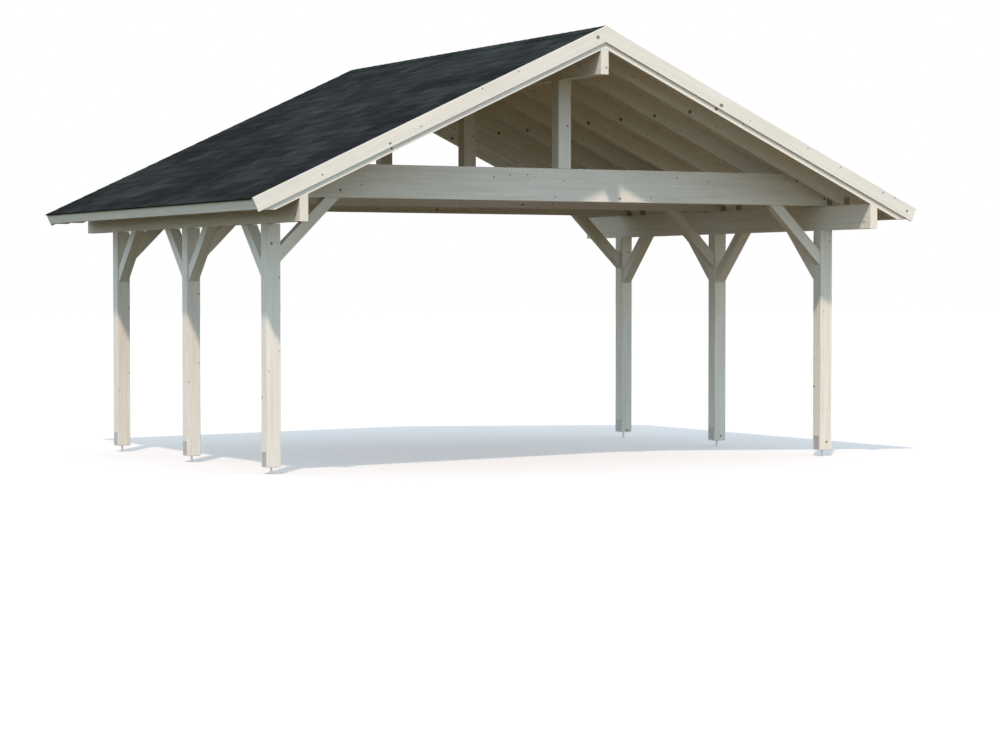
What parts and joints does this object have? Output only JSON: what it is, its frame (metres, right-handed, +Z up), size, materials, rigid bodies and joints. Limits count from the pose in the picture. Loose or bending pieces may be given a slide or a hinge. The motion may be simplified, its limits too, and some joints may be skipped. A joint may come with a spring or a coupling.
{
  "type": "carport",
  "caption": "Open double carport of white glazed timber with knee braces and king posts, a dark shingled gable roof and galvanised post bases.",
  "frame": {"origin": "on the ground in the middle of the plan", "axes": "+X across the drive-in front to the right, +Y along the ridge from the front gable to the back, +Z up"},
  "size_m": [6.5906, 5.3, 3.8296],
  "materials": {
    "white_timber": "white translucent glaze on planed spruce",
    "deck_timber": "white glazed tongue and groove boards",
    "shingle": "charcoal mineral granules on bitumen",
    "galvanised_steel": "hot-dip galvanised"
  },
  "bodies": {
    "root": {"barge_board_back_left": "white_timber", "barge_board_back_right": "white_timber", "barge_board_front_left": "white_timber", "barge_board_front_right": "white_timber", "eave_beam_left": "white_timber", "eave_beam_right": "white_timber", "eave_braces_left": "white_timber", "eave_braces_right": "white_timber", "fascia_left": "white_timber", "fascia_right": "white_timber", "king_post_back": "white_timber", "king_post_front": "white_timber", "king_post_mid": "white_timber", "post_back_left": "white_timber", "post_back_right": "white_timber", "post_base_back_left": "galvanised_steel", "post_base_back_right": "galvanised_steel", "post_base_front_left": "galvanised_steel", "post_base_front_right": "galvanised_steel", "post_base_mid_left": "galvanised_steel", "post_base_mid_right": "galvanised_steel", "post_front_left": "white_timber", "post_front_right": "white_timber", "post_mid_left": "white_timber", "post_mid_right": "white_timber", "rafters_left": "white_timber", "rafters_right": "white_timber", "ridge_beam": "white_timber", "ridge_cap": "shingle", "roof_deck_left": "deck_timber", "roof_deck_right": "deck_timber", "shingles_left": "shingle", "shingles_right": "shingle", "tie_beam_back": "white_timber", "tie_beam_front": "white_timber", "tie_beam_mid": "white_timber", "tie_braces_back": "white_timber", "tie_braces_front": "white_timber", "tie_braces_mid": "white_timber"}
  },
  "joints": []
}
